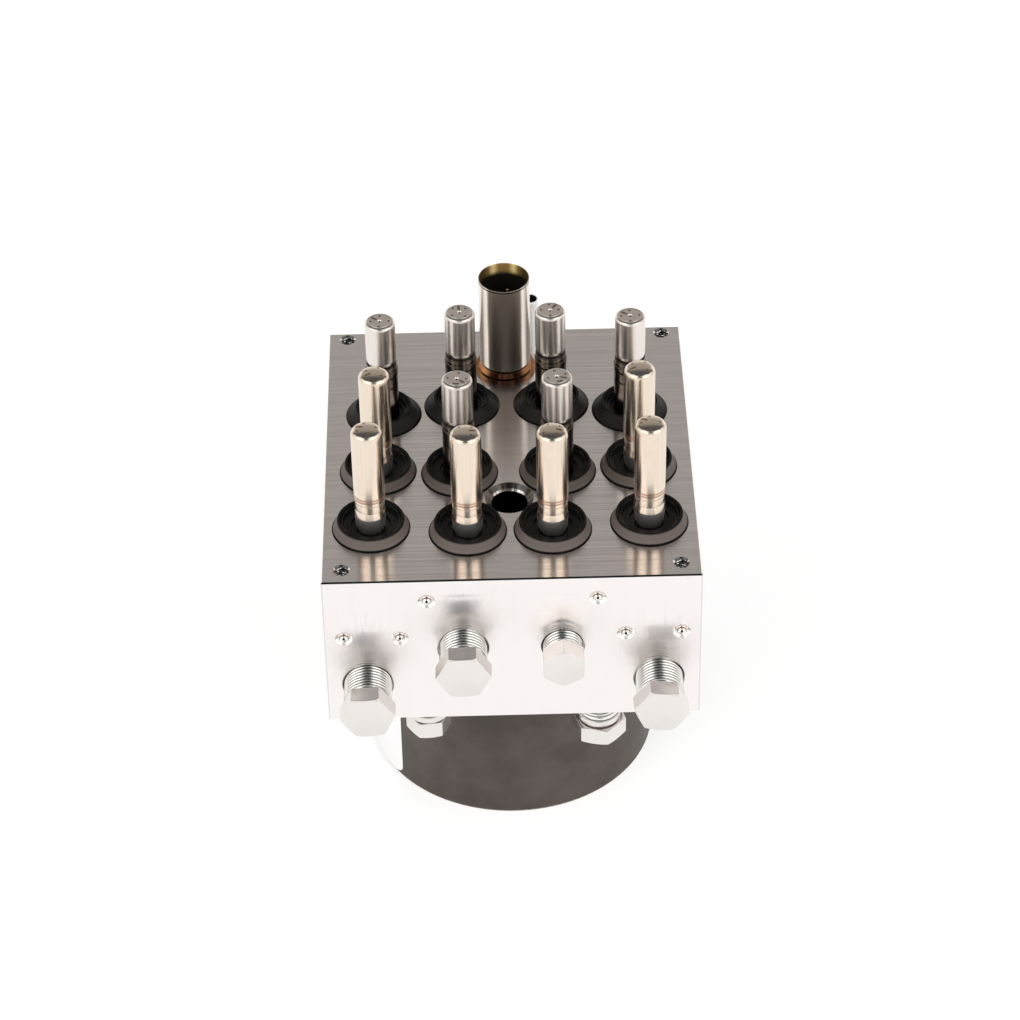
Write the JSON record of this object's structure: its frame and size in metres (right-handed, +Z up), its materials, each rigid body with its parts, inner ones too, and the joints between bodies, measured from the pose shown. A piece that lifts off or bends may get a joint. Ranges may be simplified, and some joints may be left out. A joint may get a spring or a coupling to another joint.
{
  "type": "abs brake module",
  "caption": "Brake pressure modulator: a drilled aluminium valve block with solenoid valve stems, a pressure sensor and plugged pipe ports, standing on its pump motor.",
  "frame": {"origin": "on the motor's axis, on the flat end face of the motor that the unit stands on", "axes": "+Z up along the motor's axis to the valve stems, -Y towards the face with the pipe ports"},
  "size_m": [0.093, 0.1146, 0.1317],
  "materials": {
    "block": "milled, satin",
    "valve_smooth": "drawn, warm nickel tint",
    "valve_flat": "drawn, bright edge",
    "seal": "satin",
    "sensor": "polished",
    "copper_ring": "heat tinted",
    "header": "matte",
    "contact": "bright",
    "terminal": "smooth",
    "plug": "bright zinc",
    "channel_plug": "bronzed",
    "cap": "turned",
    "piston": "moulded",
    "piston_steel": "ground",
    "motor": "matte dark brown",
    "label": "satin",
    "magnet": "matte",
    "core": "plain",
    "winding": "enamelled",
    "carbon": "matte"
  },
  "bodies": {
    "module": {"valve_block": "block", "seal_cups_front": "seal", "seal_cups_middle": "seal", "seal_cups_back": "seal", "sensor_can": "sensor", "sensor_ring": "copper_ring", "sensor_header": "header", "sensor_contacts": "contact", "terminal_sleeve": "terminal", "terminal_contact": "contact", "port_plugs_large": "plug", "port_plugs_small": "plug", "channel_plugs": "channel_plug", "accumulator_caps": "cap", "pump_plugs": "cap", "motor_can": "motor", "motor_screws": "plug", "motor_label": "label", "magnets": "magnet", "rear_bearing": "piston_steel", "front_bearing": "piston_steel", "end_bearing": "piston_steel", "brush_holder": "header", "brushes": "carbon", "valve_front_outer_left": "valve_smooth", "valve_front_outer_right": "valve_smooth", "valve_front_inner_left": "valve_smooth", "valve_front_inner_right": "valve_smooth", "valve_middle_outer_left": "valve_smooth", "valve_middle_outer_right": "valve_smooth", "valve_middle_inner_left": "valve_flat", "valve_middle_inner_right": "valve_flat", "valve_back_outer_left": "valve_flat", "valve_back_outer_right": "valve_flat", "valve_back_inner_left": "valve_flat", "valve_back_inner_right": "valve_flat"},
    "rotor": {"rotor_shaft": "piston_steel", "armature_core": "core", "armature_winding": "winding", "commutator": "winding", "eccentric_needles": "piston_steel"},
    "eccentric_ring": {"eccentric_ring": "piston_steel"},
    "pump_piston_left": {"pump_piston_left": "piston_steel"},
    "accumulator_piston_left": {"accumulator_piston_left": "piston"},
    "pump_piston_right": {"pump_piston_right": "piston_steel"},
    "accumulator_piston_right": {"accumulator_piston_right": "piston"},
    "plunger_front_outer_left": {"plunger_front_outer_left": "core"},
    "plunger_front_outer_right": {"plunger_front_outer_right": "core"},
    "plunger_front_inner_left": {"plunger_front_inner_left": "core"},
    "plunger_front_inner_right": {"plunger_front_inner_right": "core"},
    "plunger_middle_outer_left": {"plunger_middle_outer_left": "core"},
    "plunger_middle_outer_right": {"plunger_middle_outer_right": "core"},
    "plunger_middle_inner_left": {"plunger_middle_inner_left": "core"},
    "plunger_middle_inner_right": {"plunger_middle_inner_right": "core"},
    "plunger_back_outer_left": {"plunger_back_outer_left": "core"},
    "plunger_back_outer_right": {"plunger_back_outer_right": "core"},
    "plunger_back_inner_left": {"plunger_back_inner_left": "core"},
    "plunger_back_inner_right": {"plunger_back_inner_right": "core"}
  },
  "joints": [
    {"name": "rotor_spin", "type": "hinge", "parent": "module", "child": "rotor", "pos_m": [0, 0, 0.03], "axis": [0, 0, 1], "continuous": true},
    {"name": "eccentric_ring_spin", "type": "hinge", "parent": "rotor", "child": "eccentric_ring", "pos_m": [0, 0.0016, 0.0712], "axis": [0, 0, 1], "continuous": true},
    {"name": "pump_piston_left_slide", "type": "slide", "parent": "module", "child": "pump_piston_left", "axis": [-1, 0, 0], "range_m": [0, 0.0032], "stiffness_N_per_m": 900, "springref_m": -0.004},
    {"name": "pump_piston_right_slide", "type": "slide", "parent": "module", "child": "pump_piston_right", "axis": [1, 0, 0], "range_m": [0, 0.0032], "stiffness_N_per_m": 900, "springref_m": -0.004},
    {"name": "accumulator_piston_left_slide", "type": "slide", "parent": "module", "child": "accumulator_piston_left", "axis": [0, 1, 0], "range_m": [0, 0.008], "stiffness_N_per_m": 400, "springref_m": -0.005},
    {"name": "accumulator_piston_right_slide", "type": "slide", "parent": "module", "child": "accumulator_piston_right", "axis": [0, 1, 0], "range_m": [0, 0.008], "stiffness_N_per_m": 400, "springref_m": -0.005},
    {"name": "plunger_front_outer_left_slide", "type": "slide", "parent": "module", "child": "plunger_front_outer_left", "axis": [0, 0, 1], "range_m": [-0.00035, 0], "stiffness_N_per_m": 1500, "springref_m": 0.0005},
    {"name": "plunger_front_outer_right_slide", "type": "slide", "parent": "module", "child": "plunger_front_outer_right", "axis": [0, 0, 1], "range_m": [-0.00035, 0], "stiffness_N_per_m": 1500, "springref_m": 0.0005},
    {"name": "plunger_front_inner_left_slide", "type": "slide", "parent": "module", "child": "plunger_front_inner_left", "axis": [0, 0, 1], "range_m": [-0.00035, 0], "stiffness_N_per_m": 1500, "springref_m": 0.0005},
    {"name": "plunger_front_inner_right_slide", "type": "slide", "parent": "module", "child": "plunger_front_inner_right", "axis": [0, 0, 1], "range_m": [-0.00035, 0], "stiffness_N_per_m": 1500, "springref_m": 0.0005},
    {"name": "plunger_middle_outer_left_slide", "type": "slide", "parent": "module", "child": "plunger_middle_outer_left", "axis": [0, 0, 1], "range_m": [-0.00035, 0], "stiffness_N_per_m": 1500, "springref_m": 0.0005},
    {"name": "plunger_middle_outer_right_slide", "type": "slide", "parent": "module", "child": "plunger_middle_outer_right", "axis": [0, 0, 1], "range_m": [-0.00035, 0], "stiffness_N_per_m": 1500, "springref_m": 0.0005},
    {"name": "plunger_middle_inner_left_slide", "type": "slide", "parent": "module", "child": "plunger_middle_inner_left", "axis": [0, 0, 1], "range_m": [0, 0.00035], "stiffness_N_per_m": 1500, "springref_m": -0.0005},
    {"name": "plunger_middle_inner_right_slide", "type": "slide", "parent": "module", "child": "plunger_middle_inner_right", "axis": [0, 0, 1], "range_m": [0, 0.00035], "stiffness_N_per_m": 1500, "springref_m": -0.0005},
    {"name": "plunger_back_outer_left_slide", "type": "slide", "parent": "module", "child": "plunger_back_outer_left", "axis": [0, 0, 1], "range_m": [0, 0.00035], "stiffness_N_per_m": 1500, "springref_m": -0.0005},
    {"name": "plunger_back_outer_right_slide", "type": "slide", "parent": "module", "child": "plunger_back_outer_right", "axis": [0, 0, 1], "range_m": [0, 0.00035], "stiffness_N_per_m": 1500, "springref_m": -0.0005},
    {"name": "plunger_back_inner_left_slide", "type": "slide", "parent": "module", "child": "plunger_back_inner_left", "axis": [0, 0, 1], "range_m": [0, 0.00035], "stiffness_N_per_m": 1500, "springref_m": -0.0005},
    {"name": "plunger_back_inner_right_slide", "type": "slide", "parent": "module", "child": "plunger_back_inner_right", "axis": [0, 0, 1], "range_m": [0, 0.00035], "stiffness_N_per_m": 1500, "springref_m": -0.0005}
  ]
}
